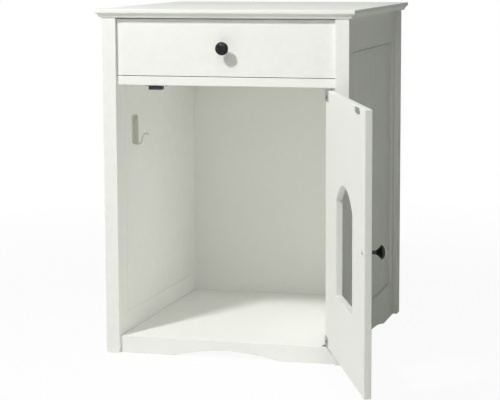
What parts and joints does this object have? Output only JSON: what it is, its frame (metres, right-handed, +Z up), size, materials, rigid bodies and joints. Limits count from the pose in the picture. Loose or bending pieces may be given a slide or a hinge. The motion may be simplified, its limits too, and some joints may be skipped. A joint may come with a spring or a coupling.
{
  "type": "cat litter box cabinet",
  "caption": "White painted cat litter cabinet with square posts, planked sides, one knobbed drawer and an open pivot-hinged door with an arched cat entry",
  "frame": {"origin": "On the ground plane, straight below the middle of the top board; the flat underside of the centre foot lies on it.", "axes": "+X to the right seen from the front, +Y to the back, +Z up. The door's rest pose is standing open, as seen; shut it faces -Y."},
  "size_m": [0.6006, 0.8661, 0.635],
  "materials": {
    "white_lacquer": "satin white lacquer over MDF and solid wood",
    "beech": "plain sanded beech",
    "black_chrome": "polished black chrome",
    "zinc_steel": "bright zinc plated pressed steel",
    "nickel_steel": "satin nickel plated steel",
    "dark_metal": "dull sintered magnet",
    "black_plastic": "matte moulded plastic",
    "nylon": "natural nylon"
  },
  "bodies": {
    "case": {"top_board": "white_lacquer", "front_post_left": "white_lacquer", "front_post_right": "white_lacquer", "rear_post_left": "white_lacquer", "rear_post_right": "white_lacquer", "side_top_rail_left": "white_lacquer", "side_top_rail_right": "white_lacquer", "side_bottom_rail_left": "white_lacquer", "side_bottom_rail_right": "white_lacquer", "side_front_stile_left": "white_lacquer", "side_front_stile_right": "white_lacquer", "side_rear_stile_left": "white_lacquer", "side_rear_stile_right": "white_lacquer", "side_panel_left": "white_lacquer", "side_panel_right": "white_lacquer", "back_panel": "white_lacquer", "back_top_rail": "white_lacquer", "back_bottom_rail": "white_lacquer", "floor_panel": "white_lacquer", "floor_cleat_left": "white_lacquer", "floor_cleat_right": "white_lacquer", "floor_centre_foot": "white_lacquer", "front_apron": "white_lacquer", "front_rail": "white_lacquer", "divider_panel": "white_lacquer", "divider_cleat_left": "white_lacquer", "divider_cleat_right": "white_lacquer", "top_front_strip": "white_lacquer", "top_corner_blocks": "white_lacquer", "top_screws": "zinc_steel", "carcass_dowels": "beech", "drawer_runner_left": "beech", "drawer_runner_right": "beech", "drawer_stops": "beech", "catch_flange": "zinc_steel", "catch_housing": "black_plastic", "catch_magnet": "dark_metal", "catch_screws": "zinc_steel", "scoop_hook": "nickel_steel", "hook_screw": "zinc_steel", "hinge_plate_top": "zinc_steel", "hinge_plate_bottom": "zinc_steel", "hinge_plate_screws": "zinc_steel", "hinge_washer": "nylon"},
    "drawer": {"drawer_front": "white_lacquer", "drawer_side_left": "white_lacquer", "drawer_side_right": "white_lacquer", "drawer_back": "white_lacquer", "drawer_bottom": "white_lacquer", "drawer_dowels": "beech", "drawer_knob": "black_chrome", "drawer_knob_screw": "zinc_steel"},
    "door": {"door_panel": "white_lacquer", "hinge_leaf_top": "zinc_steel", "hinge_leaf_bottom": "zinc_steel", "strike_plate": "zinc_steel", "door_screws": "zinc_steel", "door_knob": "black_chrome", "door_knob_screw": "zinc_steel"}
  },
  "joints": [
    {"name": "drawer_slide", "type": "slide", "parent": "case", "child": "drawer", "axis": [0, -1, 0], "range_m": [0, 0.28]},
    {"name": "door_hinge", "type": "hinge", "parent": "case", "child": "door", "pos_m": [0.192, -0.238, 0.263], "axis": [0, 0, 1], "range_deg": [-111.5, 0.5]}
  ]
}
